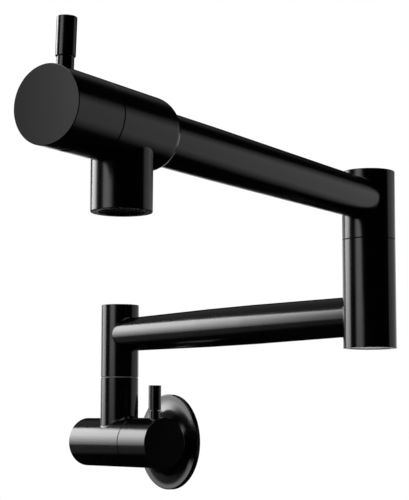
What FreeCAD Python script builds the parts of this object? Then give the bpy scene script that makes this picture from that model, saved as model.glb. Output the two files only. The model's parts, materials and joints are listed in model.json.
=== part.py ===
"""Wall mounted folding pot filler.

Frame: millimetres, +Z up.  The origin is the centre of the wall flange, on the wall plane y = 0, and the
whole tap reaches out towards -Y.  The wall valve's axis is parallel to X, the lower arm runs along +X, and
the upper arm swings out over the hob from the second post.
"""
import FreeCAD, Part
import math
import os

Vec = FreeCAD.Vector
X_AXIS = Vec(1, 0, 0)
Y_AXIS = Vec(0, 1, 0)
Z_AXIS = Vec(0, 0, 1)

# ---------------------------------------------------------------- driving dimensions (mm)
# overall
wall_to_body = 53.9            # wall plane to the axis of the wall valve
arm_1_length = 292.0           # between the two post axes
arm_1_height = 88.4            # height of the lower arm's axis over the wall valve's axis
arm_2_height = 166.5           # height of the upper arm's axis
arm_2_angle = -70.8            # heading of the upper arm at rest, degrees from +X about +Z
spout_reach = 288.4            # second post's axis to the spout's axis

# wall flange
flange_radius = 40.0
flange_rim_height = 4.0
flange_rim_width = 3.5
flange_wall = 2.0
flange_lip_radius = 0.8        # rounding of the rim's front edge
flange_neck_radius = 15.6      # outside of the neck
flange_body_gap = 0.3          # neck's end to the back of the valve body
flange_seal_width = 2.0
flange_seal_gap = 0.1          # free space in front of the seal

# boss behind the valve body, inside the flange's neck
boss_clearance = 0.3           # radial, to the neck
boss_length = 9.0              # beyond the neck's end, towards the wall
boss_overlap = 3.0             # of its root with the body
boss_seal_from_end = 4.0       # boss's free end to the middle of its O-ring
boss_seal_depth = 0.6          # of the O-ring's centre line under the boss's surface

# inlet nipple, G 1/2 parallel thread
inlet_thread_radius = 10.4775
inlet_waist_radius = 9.4       # plain middle between the two threaded ends
inlet_thread_lead = 1.0        # chamfer at each end
inlet_bore_radius = 5.2
inlet_behind_wall = 16.0
inlet_key_across_flats = 11.0
inlet_key_depth = 9.0
strainer_radius = 5.9
strainer_seat = 5.0            # from the nipple's inner end to the strainer's far face
strainer_thickness = 1.5
strainer_rings = ((1, 0.0), (6, 2.2), (12, 4.3))   # holes and their circle's radius
small_hole_radius = 0.7
thread_clearance = 0.05        # radial, between a thread's crest and its hole

# valve bodies and handles, the same pair at the wall and at the outlet
body_radius = 20.0
body_far_end = 45.0            # wall valve's axis crossing to the closed end
body_face = 25.3               # wall valve's axis crossing to the face that carries the handle
outlet_face_beyond_spout = 25.2
hub_length = 37.4              # valve face to the hub's end disc
hub_gap = 0.5                  # seam between valve body and hub
hub_cavity_clearance = 0.9     # radial, over the corners of the cartridge's hexagon
hub_cavity_spare = 2.0         # free depth over the cartridge's neck
socket_spare = 0.3             # free depth past the stem's end
edge_break = 0.35              # machined edges that are handled
fine_edge = 0.25               # crisp edges of seams and posts

# riser and posts
riser_radius = 15.65
riser_height = 52.7            # over the wall valve's axis
riser_fillet = 2.5
post_1_radius = 15.65
post_1_top = 113.3
post_2_radius = 18.0
post_2_bottom = 66.0
post_2_seam = 139.3             # top of its lower sleeve
post_2_top = 186.3
post_2_bore = 14.0
chamber_over_arm = 4.0         # how far the lower chamber reaches above the arm
washer_1_thickness = 1.0
washer_1_inset = 0.5
washer_2_thickness = 1.0
washer_bore_gap = 0.2          # radial, to the spigot
washer_2_inset = 2.6            # this washer hides in a recess of the upper sleeve
washer_2_recess = 0.75
washer_side_gap = 0.3
washer_gap = 0.05              # running gap over the slip washer
plug_height = 5.0
plug_recess = 0.3              # a plug lies this far inside its post's end
plug_clearance = 0.05
plug_oring_section = 0.72
plug_groove_start = 1.2        # from the plug's hidden face
plug_groove_spare = 0.1

# swivel spigots
spigot_radius = 11.0
spigot_wall = 4.0
spigot_thread_step = 1.05      # thread's crest under the bearing's surface
spigot_thread_length = 16.0
spigot_thread_spare = 2.0      # tapped depth below the thread's end
spigot_slot_width = 2.5        # driver slots across its top
spigot_slot_depth = 1.9
spigot_oring_places = (0.27, 0.73)   # shares of the bearing's length
spigot_running_gap = 0.05
spigot_1_bearing = 16.0
spigot_2_bearing = 9.0
spigot_head = 3.0
oring_section_radius = 0.9
oring_groove_width = 2.0
circlip_thickness = 1.2
circlip_overhang = 1.6         # beyond the spigot
circlip_groove_depth = 1.1
circlip_gap = 6.0
circlip_clearance = 0.1
circlip_side_gap = 0.05
circlip_chamber_gap = 0.9      # radial, to the chamber that it is fitted through

# arms, drawn down evenly from their full radius to a smaller one at the axis of each post
arm_1_radius = 14.6
arm_1_end_radius = 13.5
arm_1_taper_length = 120.0
arm_2_radius = 14.85
arm_2_end_radius = 13.8
arm_2_taper_length = 200.0
arm_wall = 2.0                 # at the drawn ends

# ceramic disc cartridges
cartridge_radius = 11.45
cartridge_depth = 30.0
cartridge_clearance = 0.05
cartridge_waist_depth = 1.05
cartridge_flats_overhang = 2.05      # hexagon's flats beyond the cartridge's radius
cartridge_collar = 5.0
cartridge_neck_radius = 8.0
cartridge_neck_length = 8.0
cartridge_wall = 2.25
cartridge_cavity_depth = 11.0
window_width = 10.0
window_length = 5.5
window_margin = 0.5            # window's end to the cavity's end
gasket_thickness = 1.0
seat_seal_thickness = 1.0
seat_seal_inset = 0.5
seat_seal_width = 3.75
disc_thickness = 3.0
disc_gap = 0.05
disc_seat_gap = 0.1
fixed_disc_clearance = 0.1     # radial, in the cartridge's cavity
moving_disc_clearance = 0.4
disc_port_radius = 2.4
disc_port_margin = 1.2         # port's edge to the moving disc's edge
stem_radius = 4.5
stem_running_gap = 0.05
stem_end = 27.0                # beyond the valve face
stem_plate_clearance = 0.7     # radial, in the cartridge's cavity
stem_plate_thickness = 2.6
stem_tongue_width = 5.0        # across the plate's two flats
stem_oring_radius = 0.7
stem_oring_gap = 0.08
stem_groove_spare = 0.1
stem_flat_depth = 0.8
stem_flat_length = 11.0
press_clearance = 0.02         # radial, of pieces that are pushed together

# lever
lever_from_disc = 13.4         # lever's axis to the hub's end disc
lever_top = 25.8               # over the hub's surface
lever_radius = 5.05
handle_2_lean = 2.0            # degrees that the outlet's lever stands off upright when shut
lever_split = 6.0              # height of the groove between stub and rod
lever_groove = 0.4
lever_stub_radius = 4.4
lever_counterbore = 1.2        # depth of the stub's seat in the hub
lever_thread_radius = 3.0
lever_thread_length = 10.4
lever_thread_spare = 0.3
lever_spigot_radius = 2.5
lever_spigot_length = 7.0
lever_hole_spare = 0.5
lever_clearance = 0.1
grub_radius = 2.5
grub_length = 8.0
grub_key_across_flats = 2.5
grub_key_depth = 3.0
grub_from_stem_end = 5.5

# outlet body, spout and aerator
shoulder_length = 8.5          # rounded end of the outlet body
shoulder_lip = 0.4             # how far its end stands over the arm
outlet_tail = 29.7             # spout's axis back to the end of the shoulder
arm_2_socket = 9.0
spout_radius = 16.0
spout_drop = 44.2              # upper arm's axis to the spout's mouth
spout_bore_radius = 12.05
spout_roof = 1.5               # metal between the spout's bore and the outlet body
spout_passage_radius = 5.0
spout_passage_offset = 3.0     # towards the handle, clear of the cartridge's seat
aerator_radius = 12.0
aerator_wall = 2.2
aerator_recess = 0.8
aerator_height = 7.4
aerator_notches = 12
aerator_notch_width = 1.7
aerator_notch_depth = 1.2
aerator_gasket_thickness = 1.6
aerator_gasket_lip = 1.5       # how far the gasket covers the screen's edge
insert_recess = 0.6
insert_wall = 1.2
insert_core_radius = 1.6
insert_ring_radii = (3.4, 5.3, 7.2)
insert_web = 0.6
insert_web_height = 2.5
insert_web_inset = 0.5
insert_web_turn = 30           # degrees between the webs
screen_thickness = 0.6
screen_holes_per_ring = (6, 12, 18)
screen_ring_spacing = 2.4

# wall valve passages
cut_spare = 1.0                # how far a cutting tool runs past the surface that it opens
passage_radius = 2.8
passage_wall = 1.2             # metal between the cartridge's chamber and the passages
passage_spread = 25.0          # degrees between the three passages
passage_length = 20.0
inlet_port_wall = 2.0
seat_width = 3.5               # shoulder that the cartridge's seal sits on
inlet_chamber_end = 30.0
riser_passage_radius = 7.5

# ---------------------------------------------------------------- helpers


def rod(radius, start, end, axis=X_AXIS, centre=Vec(0, 0, 0)):
    """Cylinder along axis, from start to end measured along it from centre."""
    return Part.makeCylinder(radius, end - start, centre + axis * start, axis)


def ring(outer, inner, start, end, axis=X_AXIS, centre=Vec(0, 0, 0)):
    """Plain tube or washer."""
    return rod(outer, start, end, axis, centre).cut(rod(inner, start - 1, end + 1, axis, centre))


def hexagon(across_flats, start, end, axis=X_AXIS, centre=Vec(0, 0, 0)):
    """Hexagonal prism along axis."""
    side = Vec(0, 1, 0) if abs(axis.y) < 0.5 else Vec(1, 0, 0)
    other = axis.cross(side)
    corner = across_flats / math.sqrt(3)
    points = []
    for i in range(7):
        a = math.radians(60 * i)
        points.append(centre + axis * start + side * (corner * math.cos(a)) + other * (corner * math.sin(a)))
    return Part.Face(Part.makePolygon(points)).extrude(axis * (end - start))


def turned(profile, axis_point, axis):
    """Solid of revolution of a closed list of edges."""
    return Part.Solid(Part.Face(Part.Wire(profile)).revolve(axis_point, axis, 360))


def line(a, b):
    return Part.LineSegment(a, b).toShape()


def arc(a, middle, b):
    return Part.Arc(a, middle, b).toShape()


def oring(centre_radius, section_radius, at, axis=X_AXIS, centre=Vec(0, 0, 0)):
    return Part.makeTorus(centre_radius, section_radius, centre + axis * at, axis)


def rim_edges(shape, radius, at, axis=X_AXIS, centre=Vec(0, 0, 0)):
    """Circular edges of one radius whose centre lies at a given place along an axis."""
    found = []
    for edge in shape.Edges:
        if not isinstance(edge.Curve, Part.Circle):
            continue
        if abs(edge.Curve.Radius - radius) < 1e-4 and (edge.Curve.Center - centre - axis * at).Length < 1e-3:
            found.append(edge)
    return found


def broken(shape, size, *rims):
    """Chamfer circular rims, each given as (radius, at, axis, centre)."""
    edges = [edge for rim in rims for edge in rim_edges(shape, *rim)]
    return shape.makeChamfer(size, edges)


def seam_edges(shape, axis_a, centre_a, radius_a, axis_b, centre_b, radius_b):
    """Edges that lie on two cylinders at once."""
    def off(point, axis, centre, radius):
        return abs((point - centre).cross(axis).Length - radius)
    found = []
    for edge in shape.Edges:
        first, last = edge.ParameterRange
        points = [edge.valueAt(first + (last - first) * t) for t in (0.2, 0.5, 0.8)]
        if all(off(p, axis_a, centre_a, radius_a) < 0.01 and off(p, axis_b, centre_b, radius_b) < 0.01
               for p in points):
            found.append(edge)
    return found


pieces = {}


def keep(name, shape, place=None):
    """File one finished piece under its node name, moved to its place on the tap."""
    shape = shape.copy()
    if place is not None:
        shape.Placement = place.multiply(shape.Placement)
    pieces[name] = shape


# ---------------------------------------------------------------- places of the sub-assemblies
body_centre = Vec(0, -wall_to_body, 0)
post_2_centre = Vec(arm_1_length, -wall_to_body, 0)
outlet_face = spout_reach + outlet_face_beyond_spout
upper_arm_place = FreeCAD.Placement(post_2_centre, FreeCAD.Rotation(Z_AXIS, arm_2_angle))
wall_valve_place = FreeCAD.Placement(body_centre + X_AXIS * body_face, FreeCAD.Rotation())
outlet_valve_place = upper_arm_place.multiply(
    FreeCAD.Placement(Vec(outlet_face, 0, arm_2_height), FreeCAD.Rotation()))
outlet_handle_place = outlet_valve_place.multiply(
    FreeCAD.Placement(Vec(0, 0, 0), FreeCAD.Rotation(X_AXIS, -handle_2_lean)))
chamber_radius = cartridge_radius + cartridge_clearance
cartridge_across_flats = 2 * (cartridge_radius + cartridge_flats_overhang)
hub_cavity_radius = cartridge_across_flats / math.sqrt(3) + hub_cavity_clearance
hub_cavity_depth = gasket_thickness + cartridge_collar + cartridge_neck_length + hub_cavity_spare
passage_orbit = chamber_radius + passage_wall + passage_radius
inlet_chamber_radius = chamber_radius - seat_width
neck_end = wall_to_body - body_radius - flange_body_gap
boss_end = neck_end - boss_length
boss_root = wall_to_body - body_radius + boss_overlap
boss_radius = flange_neck_radius - flange_wall - boss_clearance
neck_oring_depth = boss_end + boss_seal_from_end
inlet_hole_radius = inlet_thread_radius + thread_clearance
spigot_thread_radius = spigot_radius - spigot_thread_step
spigot_hole_radius = spigot_thread_radius + thread_clearance
circlip_outer_radius = spigot_radius + circlip_overhang
circlip_inner_radius = spigot_radius - circlip_groove_depth
post_1_bore = circlip_outer_radius + circlip_chamber_gap
arm_1_bore = arm_1_end_radius - arm_wall
arm_2_bore = arm_2_end_radius - arm_wall


# ---------------------------------------------------------------- wall flange and inlet


def wall_flange():
    """Trumpet flange: flat rim on the wall, quarter-round flare, straight neck."""
    flare = flange_radius - flange_rim_width - flange_neck_radius
    inner = flare + flange_wall
    lip = flange_lip_radius
    top = flange_rim_height + flare
    mid = math.sqrt(0.5)
    flare_start = flange_radius - flange_rim_width

    def at(radius, depth):
        return Vec(radius, -depth, 0)

    outer_mid = at(flare_start - flare * mid, top - flare * mid)
    inner_mid = at(flare_start - inner * mid, top - inner * mid)
    lip_mid = at(flange_radius - lip * (1 - mid), flange_rim_height - lip * (1 - mid))
    neck_bore = flange_neck_radius - flange_wall
    profile = [
        line(at(flare_start, 0), at(flange_radius, 0)),
        line(at(flange_radius, 0), at(flange_radius, flange_rim_height - lip)),
        arc(at(flange_radius, flange_rim_height - lip), lip_mid, at(flange_radius - lip, flange_rim_height)),
        line(at(flange_radius - lip, flange_rim_height), at(flare_start, flange_rim_height)),
        arc(at(flare_start, flange_rim_height), outer_mid, at(flange_neck_radius, top)),
        line(at(flange_neck_radius, top), at(flange_neck_radius, neck_end)),
        line(at(flange_neck_radius, neck_end), at(neck_bore, neck_end)),
        line(at(neck_bore, neck_end), at(neck_bore, top)),
        arc(at(neck_bore, top), inner_mid, at(flare_start, flange_rim_height - flange_wall)),
        line(at(flare_start, flange_rim_height - flange_wall), at(flare_start, 0)),
    ]
    keep("wall_flange", turned(profile, Vec(0, 0, 0), Y_AXIS))


def flange_seals():
    """Flat ring behind the rim, and the O-ring that grips the valve body's boss inside the neck."""
    outer = flange_radius - flange_rim_width
    thickness = flange_rim_height - flange_wall - flange_seal_gap
    keep("flange_seal", ring(outer - press_clearance, outer - flange_seal_width, -thickness, 0, Y_AXIS))
    keep("flange_neck_oring",
         oring(boss_radius - boss_seal_depth, oring_section_radius, -neck_oring_depth, Y_AXIS))


def inlet_nipple():
    """Nipple with a thread for the wall fitting and one for the valve body's boss, and a plain waist between.

    Its free end holds a key socket, and its inner end the strainer.
    """
    inner_end = passage_orbit - wall_to_body
    nipple = rod(inlet_waist_radius, inner_end, inlet_behind_wall, Y_AXIS)
    nipple = nipple.fuse([rod(inlet_thread_radius, 0, inlet_behind_wall, Y_AXIS),
                          rod(inlet_thread_radius, inner_end, -boss_end, Y_AXIS)]).removeSplitter()
    nipple = broken(nipple, inlet_thread_lead, (inlet_thread_radius, inlet_behind_wall, Y_AXIS),
                    (inlet_thread_radius, inner_end, Y_AXIS))
    strainer_end = inner_end + strainer_seat
    nipple = nipple.cut([
        rod(inlet_bore_radius, inner_end - cut_spare, inlet_behind_wall + cut_spare, Y_AXIS),
        hexagon(inlet_key_across_flats, inlet_behind_wall - inlet_key_depth,
                inlet_behind_wall + cut_spare, Y_AXIS),
        rod(strainer_radius + plug_clearance, inner_end - cut_spare, strainer_end, Y_AXIS),
    ])
    keep("inlet_nipple", nipple)
    strainer = rod(strainer_radius, strainer_end - strainer_thickness, strainer_end, Y_AXIS)
    for count, orbit in strainer_rings:
        for i in range(count):
            a = 2 * math.pi * i / count
            spot = Vec(orbit * math.cos(a), 0, orbit * math.sin(a))
            strainer = strainer.cut(rod(small_hole_radius, inner_end, 0, Y_AXIS, spot))
    keep("inlet_strainer", strainer)


# ---------------------------------------------------------------- valve bodies
def valve_body():
    """Horizontal body with the riser on top and the inlet boss at the back."""
    body = rod(body_radius, -body_far_end, body_face, X_AXIS, body_centre)
    riser = rod(riser_radius, 0, riser_height, Z_AXIS, body_centre)
    shape = body.fuse(riser)
    saddle = seam_edges(shape, X_AXIS, body_centre, body_radius, Z_AXIS, body_centre, riser_radius)
    shape = shape.makeFillet(riser_fillet, saddle)
    boss = rod(boss_radius, -boss_root, -boss_end, Y_AXIS)
    shape = shape.fuse(boss).removeSplitter()
    shape = broken(shape, edge_break, (body_radius, -body_far_end, X_AXIS, body_centre))
    shape = broken(shape, fine_edge, (body_radius, body_face, X_AXIS, body_centre),
                   (riser_radius, riser_height, Z_AXIS, body_centre))
    half = oring_groove_width / 2
    groove = ring(boss_radius + cut_spare, boss_radius - boss_seal_depth - oring_section_radius,
                  -neck_oring_depth - half, -neck_oring_depth + half, Y_AXIS)
    seat = body_face - cartridge_depth
    cuts = [
        groove,
        rod(chamber_radius, seat, body_face + cut_spare, X_AXIS, body_centre),
        rod(inlet_chamber_radius, -inlet_chamber_end, seat + cut_spare, X_AXIS, body_centre),
        rod(riser_passage_radius, chamber_radius - cut_spare, riser_height, Z_AXIS, body_centre),
        rod(spigot_hole_radius, riser_height - spigot_thread_length - spigot_thread_spare,
            riser_height + cut_spare, Z_AXIS, body_centre),
        rod(inlet_hole_radius, chamber_radius + inlet_port_wall - wall_to_body, 0, Y_AXIS),
    ]
    for turn in (-passage_spread, 0.0, passage_spread):
        a = math.radians(turn)
        radial = Vec(0, math.cos(a), math.sin(a))
        cuts.append(rod(passage_radius, -passage_length, 0, X_AXIS, body_centre + radial * passage_orbit))
        cuts.append(rod(passage_radius, 0, passage_orbit, radial, body_centre - X_AXIS * passage_length))
    keep("valve_body", shape.cut(cuts))


def outlet_body():
    """Body at the end of the upper arm, in the arm's frame: X along the arm, origin on the post's axis."""
    end = Vec(spout_reach - outlet_tail, 0, arm_2_height)
    lip_radius = arm_2_radius + shoulder_lip
    drop = body_radius - lip_radius
    curve = (shoulder_length ** 2 + drop ** 2) / (2 * drop)
    half = math.asin(shoulder_length / curve) / 2
    start = end + Vec(shoulder_length, 0, body_radius)
    middle = start + Vec(-curve * math.sin(half), 0, -curve * (1 - math.cos(half)))
    face = Vec(outlet_face, 0, arm_2_height)
    profile = [
        line(end, end + Z_AXIS * lip_radius),
        arc(end + Z_AXIS * lip_radius, middle, start),
        line(start, face + Z_AXIS * body_radius),
        line(face + Z_AXIS * body_radius, face),
        line(face, end),
    ]
    solid = turned(profile, end, X_AXIS)
    axis_centre = Vec(0, 0, arm_2_height)
    seat = outlet_face - cartridge_depth
    socket_end = spout_reach - outlet_tail + arm_2_socket
    shape = broken(solid, fine_edge, (body_radius, outlet_face, X_AXIS, axis_centre))
    passage_centre = Vec(spout_reach + spout_passage_offset, 0, arm_2_height)
    shape = shape.cut([
        rod(chamber_radius, seat, outlet_face + cut_spare, X_AXIS, axis_centre),
        rod(inlet_chamber_radius, socket_end - cut_spare, seat + cut_spare, X_AXIS, axis_centre),
        rod(arm_2_radius + plug_clearance, end.x - cut_spare, socket_end, X_AXIS, axis_centre),
        rod(spout_passage_radius, -body_radius - cut_spare, 0, Z_AXIS, passage_centre),
    ])
    keep("outlet_body", shape, upper_arm_place)
    return solid


def spout(outlet_solid):
    """Short vertical spout, coped to the underside of the outlet body."""
    centre = Vec(spout_reach, 0, arm_2_height)
    tube = rod(spout_radius, -spout_drop, 0, Z_AXIS, centre).cut(outlet_solid)
    tube = broken(tube, edge_break, (spout_radius, -spout_drop, Z_AXIS, centre))
    tube = tube.cut([
        rod(spout_bore_radius, -spout_drop - cut_spare, -body_radius - spout_roof, Z_AXIS, centre),
        rod(spout_passage_radius, -body_radius - spout_roof - cut_spare, 0, Z_AXIS,
            centre + X_AXIS * spout_passage_offset),
    ])
    keep("spout_tube", tube, upper_arm_place)


def aerator():
    """Screwed ring with key notches, flow insert, screen and gasket, all inside the spout's mouth."""
    mouth = Vec(spout_reach, 0, arm_2_height - spout_drop + aerator_recess)
    bore = aerator_radius - aerator_wall
    housing = ring(aerator_radius, bore, 0, aerator_height, Z_AXIS, mouth)
    for i in range(aerator_notches):
        notch = Part.makeBox(aerator_radius, aerator_notch_width, aerator_notch_depth,
                             Vec(bore - cut_spare, -aerator_notch_width / 2, 0))
        notch.rotate(Vec(0, 0, 0), Z_AXIS, 360.0 * i / aerator_notches)
        notch.translate(mouth)
        housing = housing.cut(notch)
    keep("aerator_housing", housing, upper_arm_place)

    insert_radius = bore - plug_clearance
    insert_top = aerator_height - screen_thickness
    web_top = insert_recess + insert_web_height
    web_reach = insert_radius - insert_web_inset
    parts = [ring(insert_radius, insert_radius - insert_wall, insert_recess, insert_top, Z_AXIS, mouth),
             rod(insert_core_radius, insert_recess, insert_top, Z_AXIS, mouth)]
    for outer in insert_ring_radii:
        parts.append(ring(outer, outer - insert_web, insert_recess, web_top, Z_AXIS, mouth))
    for turn in range(0, 180, insert_web_turn):
        web = Part.makeBox(2 * web_reach, insert_web, insert_web_height,
                           Vec(-web_reach, -insert_web / 2, insert_recess))
        web.rotate(Vec(0, 0, 0), Z_AXIS, turn)
        web.translate(mouth)
        parts.append(web)
    keep("aerator_insert", parts[0].fuse(parts[1:]).removeSplitter(), upper_arm_place)

    screen = rod(insert_radius, insert_top, aerator_height, Z_AXIS, mouth)
    for index, count in enumerate(screen_holes_per_ring):
        orbit = screen_ring_spacing * (index + 1)
        for i in range(count):
            a = 2 * math.pi * i / count
            spot = mouth + Vec(orbit * math.cos(a), orbit * math.sin(a), 0)
            screen = screen.cut(rod(small_hole_radius, insert_top - cut_spare, aerator_height + cut_spare,
                                    Z_AXIS, spot))
    keep("aerator_screen", screen, upper_arm_place)
    keep("aerator_gasket", ring(aerator_radius, bore - aerator_gasket_lip, aerator_height,
                                aerator_height + aerator_gasket_thickness, Z_AXIS, mouth), upper_arm_place)


# ---------------------------------------------------------------- cartridge and handle, at either valve
def cartridge(number, place, handle_place):
    """Quarter-turn ceramic cartridge.  Local frame: X along the valve, origin on the valve's face.

    Its stem and moving disc take the handle's place, because they turn with it.
    """
    name = "cartridge_%d_" % number
    inner_end = seat_seal_thickness - cartridge_depth
    cavity_end = inner_end + cartridge_cavity_depth
    window_start = cavity_end - window_length - window_margin
    cavity_radius = cartridge_radius - cartridge_wall
    collar_end = gasket_thickness + cartridge_collar
    neck_end_x = collar_end + cartridge_neck_length
    body = rod(cartridge_radius, inner_end, gasket_thickness)
    body = body.fuse([hexagon(cartridge_across_flats, gasket_thickness, collar_end),
                      rod(cartridge_neck_radius, collar_end, neck_end_x)]).removeSplitter()
    body = body.cut([
        rod(cavity_radius, inner_end - cut_spare, cavity_end),
        rod(stem_radius + stem_running_gap, cavity_end - cut_spare, neck_end_x + cut_spare),
        ring(cartridge_radius + cut_spare, cartridge_radius - cartridge_waist_depth,
             window_start - 2 * window_margin, cavity_end + 2 * window_margin),
        Part.makeBox(window_length, window_width, 4 * cartridge_radius,
                     Vec(window_start, -window_width / 2, -2 * cartridge_radius)),
        ring(stem_radius + 2 * (stem_oring_radius + stem_oring_gap), stem_radius,
             collar_end - stem_oring_radius - stem_groove_spare,
             collar_end + stem_oring_radius + stem_groove_spare),
    ])
    keep(name + "body", body, place)
    keep(name + "gasket", ring(cartridge_across_flats / 2, chamber_radius, 0, gasket_thickness), place)
    seal_radius = cartridge_radius - seat_seal_inset
    keep(name + "seat_seal",
         ring(seal_radius, seal_radius - seat_seal_width, -cartridge_depth, inner_end), place)
    keep(name + "stem_oring",
         oring(stem_radius + stem_oring_radius + stem_oring_gap, stem_oring_radius, collar_end), place)

    fixed_start = inner_end + disc_seat_gap
    moving_start = fixed_start + disc_thickness + disc_gap
    plate_start = moving_start + disc_thickness
    moving_disc_radius = cavity_radius - moving_disc_clearance
    port_orbit = moving_disc_radius - disc_port_margin - disc_port_radius

    def disc(radius, start, ports_at):
        end = start + disc_thickness
        shape = rod(radius, start, end)
        for turn in ports_at:
            port = rod(disc_port_radius, start - cut_spare, end + cut_spare, X_AXIS, Z_AXIS * port_orbit)
            port.rotate(Vec(0, 0, 0), X_AXIS, turn)
            shape = shape.cut(port)
        return shape

    keep(name + "fixed_disc", disc(cavity_radius - fixed_disc_clearance, fixed_start, (0, 180)), place)
    keep(name + "moving_disc", disc(moving_disc_radius, moving_start, (90, 270)), handle_place)

    plate_radius = cavity_radius - stem_plate_clearance
    tongue = Part.makeBox(stem_plate_thickness, stem_tongue_width, 2 * plate_radius,
                          Vec(plate_start, -stem_tongue_width / 2, -plate_radius))
    plate = rod(plate_radius, plate_start, plate_start + stem_plate_thickness).common(tongue)
    stem = plate.fuse(rod(stem_radius, plate_start, stem_end)).removeSplitter()
    stem = stem.cut(Part.makeBox(stem_flat_length + cut_spare, 4 * stem_radius, stem_radius,
                                 Vec(stem_end - stem_flat_length, -2 * stem_radius,
                                     -2 * stem_radius + stem_flat_depth)))
    keep(name + "stem", stem, handle_place)


def handle(number, place):
    """Hub with its lever, pushed on the stem and held by a grub screw from below."""
    lever_x = hub_length - lever_from_disc
    up = Vec(lever_x, 0, 0)
    grub_centre = Vec(stem_end - grub_from_stem_end, 0, 0)
    grub_top = stem_flat_depth - stem_radius - press_clearance
    seat = body_radius - lever_counterbore
    thread_end = seat - lever_thread_length
    split = body_radius + lever_split
    spigot_top = split + lever_spigot_length
    rod_top = body_radius + lever_top
    hub = rod(body_radius, hub_gap, hub_length)
    hub = broken(hub, edge_break, (body_radius, hub_length, X_AXIS))
    hub = broken(hub, fine_edge, (body_radius, hub_gap, X_AXIS))
    hub = hub.cut([
        rod(hub_cavity_radius, hub_gap - cut_spare, hub_cavity_depth),
        rod(stem_radius + press_clearance, hub_cavity_depth - cut_spare, stem_end + socket_spare),
        rod(lever_thread_radius + thread_clearance, thread_end - lever_thread_spare, rod_top, Z_AXIS, up),
        rod(lever_stub_radius + lever_clearance, seat, rod_top, Z_AXIS, up),
        rod(grub_radius + thread_clearance, -body_radius - cut_spare, grub_top, Z_AXIS, grub_centre),
    ])
    keep("hub_%d" % number, hub, place)

    stub_top = split - lever_groove
    stub = rod(lever_stub_radius, seat, stub_top, Z_AXIS, up)
    stub = stub.fuse([rod(lever_thread_radius, thread_end, seat, Z_AXIS, up),
                      rod(lever_spigot_radius, stub_top, spigot_top, Z_AXIS, up)])
    keep("lever_%d_stub" % number, stub.removeSplitter(), place)

    grip = rod(lever_radius, split, rod_top, Z_AXIS, up)
    grip = broken(grip, edge_break, (lever_radius, rod_top, Z_AXIS, up))
    grip = broken(grip, fine_edge, (lever_radius, split, Z_AXIS, up))
    grip = grip.cut(rod(lever_spigot_radius + press_clearance, split - cut_spare,
                        spigot_top + lever_hole_spare, Z_AXIS, up))
    keep("lever_%d_rod" % number, grip, place)

    screw_low = grub_top - grub_length
    screw = rod(grub_radius, screw_low, grub_top - press_clearance, Z_AXIS, grub_centre)
    screw = screw.cut(hexagon(grub_key_across_flats, screw_low - cut_spare, screw_low + grub_key_depth,
                              Z_AXIS, grub_centre))
    keep("hub_%d_grub_screw" % number, screw, place)


# ---------------------------------------------------------------- swivels, posts and arms
def swivel(number, centre, base_top, washer, washer_radius, bearing):
    """Spigot screwed into the lower part, with slip washer, two O-rings and a retaining ring."""
    shoulder = base_top + bearing
    clip_low = shoulder + circlip_clearance
    clip_high = clip_low + circlip_thickness
    top = clip_high + spigot_head
    spigot = rod(spigot_radius, base_top, top, Z_AXIS, centre)
    spigot = spigot.fuse(rod(spigot_thread_radius, base_top - spigot_thread_length, base_top, Z_AXIS, centre))
    spigot = spigot.removeSplitter()
    spigot = broken(spigot, edge_break, (spigot_radius, top, Z_AXIS, centre))
    bearing_start = base_top + washer
    half = oring_groove_width / 2
    oring_centre = spigot_radius - oring_section_radius
    marks = [bearing_start + (shoulder - bearing_start) * share for share in spigot_oring_places]
    cuts = [rod(spigot_radius - spigot_wall, base_top - spigot_thread_length - cut_spare, top + cut_spare,
                Z_AXIS, centre),
            ring(spigot_radius + cut_spare, circlip_inner_radius, clip_low, clip_high + circlip_side_gap,
                 Z_AXIS, centre)]
    for mark in marks:
        cuts.append(ring(spigot_radius + cut_spare, oring_centre - oring_section_radius, mark - half,
                         mark + half, Z_AXIS, centre))
    for turn in (0, 90):
        slot = Part.makeBox(4 * spigot_radius, spigot_slot_width, spigot_slot_depth + cut_spare,
                            Vec(-2 * spigot_radius, -spigot_slot_width / 2, 0))
        slot.rotate(Vec(0, 0, 0), Z_AXIS, turn)
        slot.translate(centre + Z_AXIS * (top - spigot_slot_depth))
        cuts.append(slot)
    keep("spigot_%d" % number, spigot.cut(cuts))
    seals = [oring(oring_centre, oring_section_radius, mark, Z_AXIS, centre) for mark in marks]
    keep("spigot_%d_orings" % number, Part.makeCompound(seals))
    clip = ring(circlip_outer_radius, circlip_inner_radius + press_clearance, clip_low, clip_high,
                Z_AXIS, centre)
    mouth = Part.makeBox(circlip_outer_radius, circlip_gap, 3 * circlip_thickness,
                         centre + Vec(0, -circlip_gap / 2, clip_low - circlip_thickness))
    keep("spigot_%d_circlip" % number, clip.cut(mouth))
    keep("slip_washer_%d" % number,
         ring(washer_radius, spigot_radius + washer_bore_gap, base_top, base_top + washer, Z_AXIS, centre))


def plug(name, centre, inner, radius, place=None, up=True):
    """Threaded plug with an O-ring that closes the end of a post.  inner is its hidden face."""
    direction = Z_AXIS if up else -Z_AXIS
    base = centre + Z_AXIS * inner
    groove_width = 2 * plug_oring_section + plug_groove_spare
    body = rod(radius, 0, plug_height, direction, base)
    body = broken(body, fine_edge, (radius, plug_height, direction, base))
    groove = ring(radius + cut_spare, radius - 2 * plug_oring_section, plug_groove_start,
                  plug_groove_start + groove_width, direction, base)
    keep(name, body.cut(groove), place)
    keep(name + "_oring", oring(radius - plug_oring_section, plug_oring_section,
                                plug_groove_start + groove_width / 2, direction, base), place)


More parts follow.
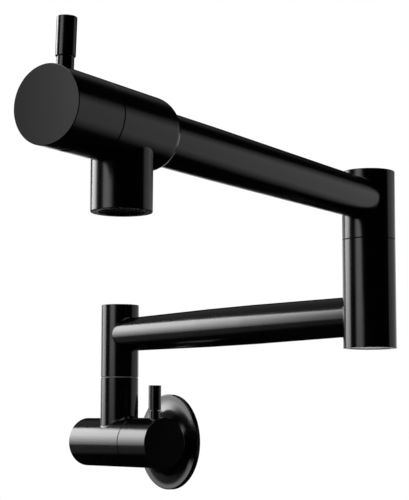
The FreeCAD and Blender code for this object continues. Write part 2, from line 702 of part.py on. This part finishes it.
def sleeve(name, centre, radius, bore, low, shoulder, high, port, place=None, recess=None):
    """Upper half of a post: turns on the spigot below, with the water chamber and a plug above.

    port is the (radius, height) of its hole into the arm, and recess the (radius, top) of the hollow that
    hides its slip washer, where it has one.
    """
    shape = rod(radius, low, high, Z_AXIS, centre)
    shape = broken(shape, fine_edge, (radius, high, Z_AXIS, centre), (radius, low, Z_AXIS, centre))
    shape = shape.cut([
        rod(spigot_radius + spigot_running_gap, low - cut_spare, shoulder + cut_spare, Z_AXIS, centre),
        rod(bore, shoulder, high + cut_spare, Z_AXIS, centre),
        rod(port[0], 0, radius + cut_spare, X_AXIS, centre + Z_AXIS * port[1]),
    ])
    if recess is not None:
        shape = shape.cut(rod(recess[0], low - cut_spare, recess[1], Z_AXIS, centre))
    keep(name, shape, place)


def arm_tube(name, start, end, height, sizes, bore, copes, place=None):
    """Tube along X between two places, drawn down towards and coped to each post.

    sizes is its (radius at a post's axis, full radius, length of the taper), and copes the (centre, radius)
    of one post, at its start, or of two.
    """
    end_radius, full_radius, taper_length = sizes
    centre = Z_AXIS * height + Y_AXIS * start.y
    outline = [(start.x, 0), (start.x, end_radius), (start.x + taper_length, full_radius)]
    if len(copes) == 2:
        outline += [(end.x - taper_length, full_radius), (end.x, end_radius), (end.x, 0)]
    else:
        outline += [(end.x, full_radius), (end.x, 0)]
    points = [centre + X_AXIS * x + Z_AXIS * radius for x, radius in outline]
    tube = turned([line(a, b) for a, b in zip(points, points[1:] + points[:1])], centre, X_AXIS)
    cuts = [rod(bore, start.x - cut_spare, end.x + cut_spare, X_AXIS, centre)]
    for post, radius in copes:
        cuts.append(rod(radius, height - 2 * full_radius, height + 2 * full_radius, Z_AXIS, post))
    keep(name, tube.cut(cuts), place)


def lower_arm():
    low = riser_height + washer_1_thickness + washer_gap
    sleeve("post_1_sleeve", body_centre, post_1_radius, post_1_bore, low, riser_height + spigot_1_bearing,
           post_1_top, (arm_1_bore, arm_1_height))
    plug("post_1_cap", body_centre, post_1_top - plug_recess - plug_height, post_1_bore - plug_clearance)
    arm_tube("arm_1_tube", body_centre, post_2_centre, arm_1_height,
             (arm_1_end_radius, arm_1_radius, arm_1_taper_length), arm_1_bore,
             [(body_centre, post_1_radius), (post_2_centre, post_2_radius)])

    shape = rod(post_2_radius, post_2_bottom, post_2_seam, Z_AXIS, post_2_centre)
    shape = broken(shape, fine_edge, (post_2_radius, post_2_bottom, Z_AXIS, post_2_centre),
                   (post_2_radius, post_2_seam, Z_AXIS, post_2_centre))
    chamber_top = arm_1_height + arm_1_radius + chamber_over_arm
    shape = shape.cut([
        rod(post_2_bore, post_2_bottom - cut_spare, chamber_top, Z_AXIS, post_2_centre),
        rod(spigot_hole_radius, chamber_top - cut_spare, post_2_seam + cut_spare, Z_AXIS, post_2_centre),
        rod(arm_1_bore, 0, post_2_radius + cut_spare, -X_AXIS, post_2_centre + Z_AXIS * arm_1_height),
    ])
    keep("post_2_lower_sleeve", shape)
    plug("post_2_bottom_plug", post_2_centre, post_2_bottom + plug_recess + plug_height,
         post_2_bore - plug_clearance, None, False)


def upper_arm():
    origin = Vec(0, 0, 0)
    recess_top = post_2_seam + washer_2_thickness + washer_gap
    recess = (post_2_radius - washer_2_inset + washer_side_gap, recess_top)
    sleeve("post_2_upper_sleeve", origin, post_2_radius, post_2_bore, recess_top - washer_2_recess,
           post_2_seam + spigot_2_bearing, post_2_top, (arm_2_bore, arm_2_height), upper_arm_place, recess)
    plug("post_2_cap", origin, post_2_top - plug_recess - plug_height, post_2_bore - plug_clearance,
         upper_arm_place)
    tube_end = Vec(spout_reach - outlet_tail + arm_2_socket, 0, 0)
    arm_tube("arm_2_tube", origin, tube_end, arm_2_height,
             (arm_2_end_radius, arm_2_radius, arm_2_taper_length), arm_2_bore,
             [(origin, post_2_radius)], upper_arm_place)
    spout(outlet_body())
    aerator()


def main():
    wall_flange()
    flange_seals()
    inlet_nipple()
    valve_body()
    cartridge(1, wall_valve_place, wall_valve_place)
    handle(1, wall_valve_place)
    swivel(1, body_centre, riser_height, washer_1_thickness, riser_radius - washer_1_inset, spigot_1_bearing)
    lower_arm()
    swivel(2, post_2_centre, post_2_seam, washer_2_thickness, post_2_radius - washer_2_inset,
           spigot_2_bearing)
    upper_arm()
    cartridge(2, outlet_valve_place, outlet_handle_place)
    handle(2, outlet_handle_place)

    os.makedirs("parts", exist_ok=True)
    for name, shape in pieces.items():
        shape.exportStep("parts/%s.step" % name)
        print("%-24s solids %d  volume %10.1f mm3  valid %s"
              % (name, len(shape.Solids), shape.Volume, shape.isValid()))


main()
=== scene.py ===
"""Wall mounted folding pot filler: finishes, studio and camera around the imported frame.  Metres, +Z up."""
import json
import math

import bmesh
import bpy
from mathutils import Matrix, Vector


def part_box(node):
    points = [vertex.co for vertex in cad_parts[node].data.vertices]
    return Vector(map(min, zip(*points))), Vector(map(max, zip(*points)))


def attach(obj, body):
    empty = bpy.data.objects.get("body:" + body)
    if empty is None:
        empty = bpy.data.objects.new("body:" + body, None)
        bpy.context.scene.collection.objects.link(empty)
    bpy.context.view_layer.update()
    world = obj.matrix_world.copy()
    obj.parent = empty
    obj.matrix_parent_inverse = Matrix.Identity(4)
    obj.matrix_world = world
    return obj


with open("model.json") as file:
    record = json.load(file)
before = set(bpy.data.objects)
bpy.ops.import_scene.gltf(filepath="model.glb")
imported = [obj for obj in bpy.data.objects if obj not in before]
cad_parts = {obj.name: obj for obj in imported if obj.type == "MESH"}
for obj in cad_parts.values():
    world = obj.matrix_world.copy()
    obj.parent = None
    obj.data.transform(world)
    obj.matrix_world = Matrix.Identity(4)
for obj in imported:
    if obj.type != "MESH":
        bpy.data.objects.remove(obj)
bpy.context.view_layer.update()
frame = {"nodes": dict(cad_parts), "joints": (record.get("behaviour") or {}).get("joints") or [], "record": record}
nodes = frame["nodes"]
scene = bpy.context.scene

# ---------------------------------------------------------------- camera, from the photograph's outlines
IMAGE_LONG_SIDE = 500          # pixels
SENSOR = 36.0                  # millimetres, along the long side
FOCAL_PIXELS = 1431.2
CAMERA_AZIMUTH = math.radians(51.46)
CAMERA_ELEVATION = math.radians(-6.89)
CAMERA_ROLL = math.radians(0.13)
CAMERA_DISTANCE = 1.1665
CAMERA_TARGET = Vector((0.0715, -0.0210, 0.1559))
CLIP_START = 0.01
CLIP_END = 50.0

# ---------------------------------------------------------------- studio
WHITE = (1, 1, 1, 1)
FLOOR_HEIGHT = -0.45
FLOOR_RADIUS = 4.0
FLOOR_SIDES = 96
FLOOR_COLOUR = (0.85, 0.85, 0.84, 1)
FLOOR_ROUGHNESS = 0.9
FLOOR_CLEAR_RADIUS = 0.6       # inside it the floor keeps the most of its shadows
FLOOR_WHITE_RADIUS = 2.2       # beyond it the floor is as white as its surroundings
FLOOR_GLOW = 0.6               # how much of the floor's middle is plain white to the camera

# Each lamp has a name, a distance, a radiance, its outer edges and the edges of its bright core.  Edges are
# where it starts and ends, in degrees left of the camera, and the elevations of its bottom and top.
LAMPS = (
    ("side_box", 3.0, 7.4, (95.0, 131.0, -8.0, 29.5), (107.0, 131.0, 12.0, 29.5)),
    ("side_glow", 3.1, 0.15, (98.0, 131.0, -30.0, -2.0), (98.0, 131.0, -26.0, -2.0)),
    ("front_box", 3.0, 2.4, (27.0, 67.0, -4.0, 28.0), (40.0, 58.0, 4.0, 20.0)),
    ("back_box", 2.4, 0.5, (-136.0, -84.0, -32.0, 27.0), (-130.0, -88.0, -20.0, 16.0)),
    ("top_box", 1.8, 1.6, (-27.0, 27.0, 63.0, 117.0), (-18.0, 18.0, 72.0, 108.0)),
)
LAMP_LAYERS = 4                # stacked panels that feather a lamp from its outer edges to its core
LAMP_LAYER_STEP = 0.01
LAMP_AIM = Vector((0.15, -0.15, 0.10))

# What reflections see.  A ramp gives where a level starts and where it is full: as the sine of an elevation,
# or in a side ramp as the cosine of the angle from the middle of the backdrop or the ceiling.
ROOM_LEVEL = 0.003
BACKDROP_LOWER_RAMP = (-0.113, -0.078)
BACKDROP_UPPER_RAMP = (0.19, 0.12)
BACKDROP_SIDE_RAMP = (0.66, 0.84)
CEILING_LEVEL = 0.13
CEILING_LEFT = math.radians(125.0)      # its middle, from the camera
CEILING_RAMP = (0.40, 0.56)
CEILING_SIDE_RAMP = (0.0, 0.4)

# ---------------------------------------------------------------- finishes
CLOUD_CELLS = 35.0             # of the colour and roughness clouds, per metre
CLOUD_DETAIL = 3.0
GRAIN_DETAIL = 2.0
GRAIN_STRENGTH = 0.35
NOISE_LOW = 0.3                # between these two lies most of the noise
NOISE_HIGH = 0.7

# ---------------------------------------------------------------- fine fillets at the arms' coped ends
BEAD_RADIUS = 0.0007
BEAD_STEPS = 144               # round the arm
BEAD_ARC_STEPS = 6             # from post to arm
BEAD_SUNK = 0.00012            # how far its root lies inside the metal
COPE_TOLERANCE = 0.00003       # of the points that touch the post


# ---------------------------------------------------------------- camera and lamps
def heading(azimuth, elevation):
    """Unit vector from the object towards a place at this azimuth and elevation."""
    return Vector((math.sin(azimuth) * math.cos(elevation),
                   -math.cos(azimuth) * math.cos(elevation),
                   math.sin(elevation)))


def make_camera():
    back = heading(CAMERA_AZIMUTH, CAMERA_ELEVATION)
    right = Vector((0, 0, 1)).cross(back).normalized()
    up = back.cross(right)
    turned_right = right * math.cos(CAMERA_ROLL) + up * math.sin(CAMERA_ROLL)
    turned_up = up * math.cos(CAMERA_ROLL) - right * math.sin(CAMERA_ROLL)
    rotation = Matrix((turned_right, turned_up, back)).transposed().to_4x4()
    data = bpy.data.cameras.new("camera")
    data.sensor_width = SENSOR
    data.lens = FOCAL_PIXELS * SENSOR / IMAGE_LONG_SIDE
    data.clip_start = CLIP_START
    data.clip_end = CLIP_END
    camera = bpy.data.objects.new("camera", data)
    scene.collection.objects.link(camera)
    camera.matrix_world = Matrix.Translation(CAMERA_TARGET + back * CAMERA_DISTANCE) @ rotation
    scene.camera = camera


def make_lamp(name, distance, radiance, outer, core):
    """Soft box: panels that step from its outer edges to its core, so that its reflection fades out."""
    for layer in range(LAMP_LAYERS):
        share = layer / (LAMP_LAYERS - 1)
        start, end, bottom, top = [a + (b - a) * share for a, b in zip(outer, core)]
        far = distance + layer * LAMP_LAYER_STEP
        data = bpy.data.lights.new("%s_%d" % (name, layer), "AREA")
        data.shape = "RECTANGLE"
        data.size = 2 * far * math.tan(math.radians((end - start) / 2))
        data.size_y = 2 * far * math.tan(math.radians((top - bottom) / 2))
        data.energy = radiance / LAMP_LAYERS * math.pi * data.size * data.size_y
        lamp = bpy.data.objects.new(data.name, data)
        scene.collection.objects.link(lamp)
        back = heading(CAMERA_AZIMUTH - math.radians((start + end) / 2), math.radians((bottom + top) / 2))
        lamp.location = LAMP_AIM + back * far
        lamp.rotation_mode = "QUATERNION"
        lamp.rotation_quaternion = back.to_track_quat("Z", "Y")
        lamp.visible_camera = False


# ---------------------------------------------------------------- node helpers
def ramp_between(tree, value, start, end):
    """0 at start, 1 at end, smooth between."""
    node = tree.nodes.new("ShaderNodeMapRange")
    node.interpolation_type = "SMOOTHSTEP"
    node.inputs["From Min"].default_value = start
    node.inputs["From Max"].default_value = end
    tree.links.new(value, node.inputs["Value"])
    return node.outputs["Result"]


def maths(tree, operation, first, second):
    """One operation on two sockets or plain numbers."""
    node = tree.nodes.new("ShaderNodeMath")
    node.operation = operation
    for socket, value in zip(node.inputs, (first, second)):
        if isinstance(value, float):
            socket.default_value = value
        else:
            tree.links.new(value, socket)
    return node.outputs["Value"]


def vector_maths(tree, operation, socket, fixed):
    """One operation on a vector socket and a fixed vector, which gives a number."""
    node = tree.nodes.new("ShaderNodeVectorMath")
    node.operation = operation
    node.inputs[1].default_value = fixed
    tree.links.new(socket, node.inputs[0])
    return node.outputs["Value"]


def mixed(tree, share, first, second):
    """Shader that goes from the first to the second."""
    node = tree.nodes.new("ShaderNodeMixShader")
    tree.links.new(share, node.inputs["Fac"])
    tree.links.new(first, node.inputs[1])
    tree.links.new(second, node.inputs[2])
    return node.outputs[0]


# ---------------------------------------------------------------- world and floor
def make_world():
    """White to the camera.  Reflections see a pale backdrop on the wall's side, in a dark room."""
    world = bpy.data.worlds.new("studio")
    world.use_nodes = True
    tree = world.node_tree
    tree.nodes.clear()
    path = tree.nodes.new("ShaderNodeLightPath")
    direction = tree.nodes.new("ShaderNodeTexCoord").outputs["Generated"]
    split = tree.nodes.new("ShaderNodeSeparateXYZ")
    tree.links.new(direction, split.inputs["Vector"])
    height = split.outputs["Z"]
    behind = vector_maths(tree, "DOT_PRODUCT", direction, -heading(CAMERA_AZIMUTH, 0.0))
    left = vector_maths(tree, "DOT_PRODUCT", direction, heading(CAMERA_AZIMUTH - CEILING_LEFT, 0.0))

    backdrop = maths(tree, "MULTIPLY", ramp_between(tree, height, *BACKDROP_LOWER_RAMP),
                     ramp_between(tree, height, *BACKDROP_UPPER_RAMP))
    backdrop = maths(tree, "MULTIPLY", backdrop, ramp_between(tree, behind, *BACKDROP_SIDE_RAMP))
    mirrored = maths(tree, "MAXIMUM", path.outputs["Is Glossy Ray"], path.outputs["Is Transmission Ray"])
    mirrored = maths(tree, "MULTIPLY", mirrored, backdrop)
    shown = maths(tree, "MAXIMUM", path.outputs["Is Camera Ray"], mirrored)

    ceiling = maths(tree, "MULTIPLY", ramp_between(tree, height, *CEILING_RAMP),
                    ramp_between(tree, left, *CEILING_SIDE_RAMP))
    level = maths(tree, "ADD", maths(tree, "MULTIPLY", ceiling, CEILING_LEVEL), ROOM_LEVEL)
    room = tree.nodes.new("ShaderNodeBackground")
    room.inputs["Color"].default_value = WHITE
    tree.links.new(level, room.inputs["Strength"])
    white = tree.nodes.new("ShaderNodeBackground")
    white.inputs["Color"].default_value = WHITE
    out = tree.nodes.new("ShaderNodeOutputWorld")
    tree.links.new(mixed(tree, shown, room.outputs[0], white.outputs[0]), out.inputs["Surface"])
    scene.world = world


def floor_material():
    """Matt and pale, and to the camera partly plain white, the more so the further out."""
    material, tree, shader = new_material("pale_floor")
    shader.inputs["Base Color"].default_value = FLOOR_COLOUR
    shader.inputs["Roughness"].default_value = FLOOR_ROUGHNESS
    place = tree.nodes.new("ShaderNodeTexCoord").outputs["Object"]
    distance = vector_maths(tree, "DISTANCE", place, (LAMP_AIM.x, LAMP_AIM.y, FLOOR_HEIGHT))
    far = ramp_between(tree, distance, FLOOR_CLEAR_RADIUS, FLOOR_WHITE_RADIUS)
    glow = maths(tree, "MAXIMUM", far, FLOOR_GLOW)
    path = tree.nodes.new("ShaderNodeLightPath")
    shown = maths(tree, "MULTIPLY", glow, path.outputs["Is Camera Ray"])
    white = tree.nodes.new("ShaderNodeEmission")
    surface = mixed(tree, shown, shader.outputs["BSDF"], white.outputs["Emission"])
    tree.links.new(surface, tree.nodes["Material Output"].inputs["Surface"])
    return material


def make_floor():
    """Pale floor that fades into the white surroundings, and keeps the shadow in its middle."""
    ring = []
    for side in range(FLOOR_SIDES):
        turn = 2 * math.pi * side / FLOOR_SIDES
        ring.append((FLOOR_RADIUS * math.cos(turn), FLOOR_RADIUS * math.sin(turn), FLOOR_HEIGHT))
    mesh = bpy.data.meshes.new("floor")
    mesh.from_pydata(ring, [], [tuple(range(FLOOR_SIDES))])
    mesh.materials.append(floor_material())
    floor = bpy.data.objects.new("floor", mesh)
    scene.collection.objects.link(floor)
    floor.visible_glossy = False


# ---------------------------------------------------------------- materials
def new_material(name):
    material = bpy.data.materials.new(name)
    material.use_nodes = True
    tree = material.node_tree
    return material, tree, tree.nodes["Principled BSDF"]


def noise(tree, cells, detail):
    """Noise through the metal, in the object's own space."""
    coords = tree.nodes.new("ShaderNodeTexCoord")
    texture = tree.nodes.new("ShaderNodeTexNoise")
    texture.inputs["Scale"].default_value = cells
    texture.inputs["Detail"].default_value = detail
    tree.links.new(coords.outputs["Object"], texture.inputs["Vector"])
    return texture.outputs["Fac"]


def finish(name, dark, light, metallic, roughness, grain_height, grain_cells):
    """One finish: a colour cloud, a roughness cloud and a fine grain of bump."""
    material, tree, shader = new_material(name)
    shader.inputs["Metallic"].default_value = metallic
    cloud = noise(tree, CLOUD_CELLS, CLOUD_DETAIL)

    colour = tree.nodes.new("ShaderNodeMix")
    colour.data_type = "RGBA"
    colour.inputs["A"].default_value = (*dark, 1)
    colour.inputs["B"].default_value = (*light, 1)
    tree.links.new(cloud, colour.inputs["Factor"])
    tree.links.new(colour.outputs["Result"], shader.inputs["Base Color"])

    rough = tree.nodes.new("ShaderNodeMapRange")
    rough.inputs["From Min"].default_value = NOISE_LOW
    rough.inputs["From Max"].default_value = NOISE_HIGH
    rough.inputs["To Min"].default_value = roughness[0]
    rough.inputs["To Max"].default_value = roughness[1]
    tree.links.new(cloud, rough.inputs["Value"])
    tree.links.new(rough.outputs["Result"], shader.inputs["Roughness"])

    bump = tree.nodes.new("ShaderNodeBump")
    bump.inputs["Strength"].default_value = GRAIN_STRENGTH
    bump.inputs["Distance"].default_value = grain_height
    tree.links.new(noise(tree, grain_cells, GRAIN_DETAIL), bump.inputs["Height"])
    tree.links.new(bump.outputs["Normal"], shader.inputs["Normal"])
    return material


def make_materials():
    """One material for each of the record's slots."""
    return {
        "black_finish": finish(
            "black_finish", dark=(0.0010, 0.0010, 0.0011), light=(0.0018, 0.0018, 0.0019), metallic=0.0,
            roughness=(0.16, 0.20), grain_height=0.000004, grain_cells=1600.0),
        "brass": finish(
            "brass", dark=(0.72, 0.52, 0.24), light=(0.82, 0.62, 0.32), metallic=1.0,
            roughness=(0.22, 0.32), grain_height=0.00001, grain_cells=700.0),
        "steel": finish(
            "steel", dark=(0.50, 0.51, 0.53), light=(0.62, 0.63, 0.65), metallic=1.0,
            roughness=(0.25, 0.36), grain_height=0.00001, grain_cells=900.0),
        "rubber": finish(
            "rubber", dark=(0.010, 0.010, 0.010), light=(0.018, 0.018, 0.018), metallic=0.0,
            roughness=(0.50, 0.62), grain_height=0.00003, grain_cells=500.0),
        "grey_ring": finish(
            "grey_ring", dark=(0.20, 0.20, 0.21), light=(0.26, 0.26, 0.27), metallic=0.0,
            roughness=(0.30, 0.40), grain_height=0.00001, grain_cells=900.0),
        "ceramic": finish(
            "ceramic", dark=(0.78, 0.78, 0.75), light=(0.86, 0.86, 0.84), metallic=0.0,
            roughness=(0.10, 0.16), grain_height=0.000004, grain_cells=900.0),
        "black_plastic": finish(
            "black_plastic", dark=(0.008, 0.008, 0.008), light=(0.014, 0.014, 0.014), metallic=0.0,
            roughness=(0.32, 0.42), grain_height=0.00001, grain_cells=900.0),
    }


# ---------------------------------------------------------------- fine fillets
def middle(box):
    return (box[0] + box[1]) / 2


def end_radius(arm, centre, post_radius):
    """Radius of an arm at its coped end, measured on the points that touch the post."""
    found = []
    for vertex in nodes[arm].data.vertices:
        offset = vertex.co - centre
        if abs(math.hypot(offset.x, offset.y) - post_radius) < COPE_TOLERANCE:
            found.append(abs(offset.z))
    return max(found)


def bead_section(post_radius, arm_radius, turn):
    """Section of the fillet at this turn round an arm along X, with the post's axis at the origin."""
    across = math.cos(turn)
    rise = math.sin(turn)
    ball_across = (arm_radius + BEAD_RADIUS) * across
    ball = Vector((math.sqrt((post_radius + BEAD_RADIUS) ** 2 - ball_across ** 2), ball_across,
                   (arm_radius + BEAD_RADIUS) * rise))
    inwards = post_radius / (post_radius + BEAD_RADIUS)
    on_post = Vector((ball.x * inwards, ball.y * inwards, ball.z))
    on_arm = Vector((ball.x, arm_radius * across, arm_radius * rise))
    first = (on_post - ball).normalized()
    last = (on_arm - ball).normalized()
    arc = [ball + first.slerp(last, i / BEAD_ARC_STEPS) * BEAD_RADIUS for i in range(BEAD_ARC_STEPS + 1)]
    root_across = (arm_radius - BEAD_SUNK) * across
    root = Vector((math.sqrt((post_radius - BEAD_SUNK) ** 2 - root_across ** 2), root_across,
                   (arm_radius - BEAD_SUNK) * rise))
    return arc + [root]


def ring_faces(sections, points):
    """Faces of a closed ring of sections that have this many points each."""
    faces = []
    for section in range(sections):
        here = section * points
        there = (section + 1) % sections * points
        for i in range(points):
            j = (i + 1) % points
            faces.append((here + i, here + j, there + j, there + i))
    return faces


def turn_outwards(mesh):
    bm = bmesh.new()
    bm.from_mesh(mesh)
    bmesh.ops.recalc_face_normals(bm, faces=bm.faces)
    bm.to_mesh(mesh)
    bm.free()


def seam_bead(name, body, post, arm, towards):
    """Rolling-ball fillet round an arm's coped end: post and arm are nodes, towards is its heading."""
    post_box = [Vector(corner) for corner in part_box(post)]
    arm_box = [Vector(corner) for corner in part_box(arm)]
    post_radius = (post_box[1].x - post_box[0].x) / 2
    centre = Vector((middle(post_box).x, middle(post_box).y, middle(arm_box).z))
    arm_radius = end_radius(arm, centre, post_radius)
    side = Vector((0, 0, 1)).cross(towards)
    vertices = []
    for step in range(BEAD_STEPS):
        for point in bead_section(post_radius, arm_radius, 2 * math.pi * step / BEAD_STEPS):
            vertices.append(centre + towards * point.x + side * point.y + Vector((0, 0, point.z)))
    mesh = bpy.data.meshes.new(name)
    mesh.from_pydata(vertices, [], ring_faces(BEAD_STEPS, len(vertices) // BEAD_STEPS))
    mesh.update()
    turn_outwards(mesh)
    mesh.shade_smooth()
    mesh.materials.append(materials["black_finish"])
    bead = bpy.data.objects.new(name, mesh)
    scene.collection.objects.link(bead)
    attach(bead, body)


# ---------------------------------------------------------------- the scene
make_camera()
make_world()
make_floor()
for lamp in LAMPS:
    make_lamp(*lamp)

materials = make_materials()
for part in frame["record"]["subparts"]:
    node = nodes[part["node"]]
    node.data.materials.clear()
    node.data.materials.append(materials[part["material_slot"]])

joint_axes = {joint["name"]: Vector(joint["axis"]) for joint in frame["joints"]}
seam_bead("arm_1_inner_seam", "lower_arm", "post_1_sleeve", "arm_1_tube", Vector((1, 0, 0)))
seam_bead("arm_1_outer_seam", "lower_arm", "post_2_lower_sleeve", "arm_1_tube", Vector((-1, 0, 0)))
seam_bead("arm_2_seam", "upper_arm", "post_2_upper_sleeve", "arm_2_tube",
          joint_axes["handle_2_turn"].normalized())

scene.view_settings.view_transform = "Standard"
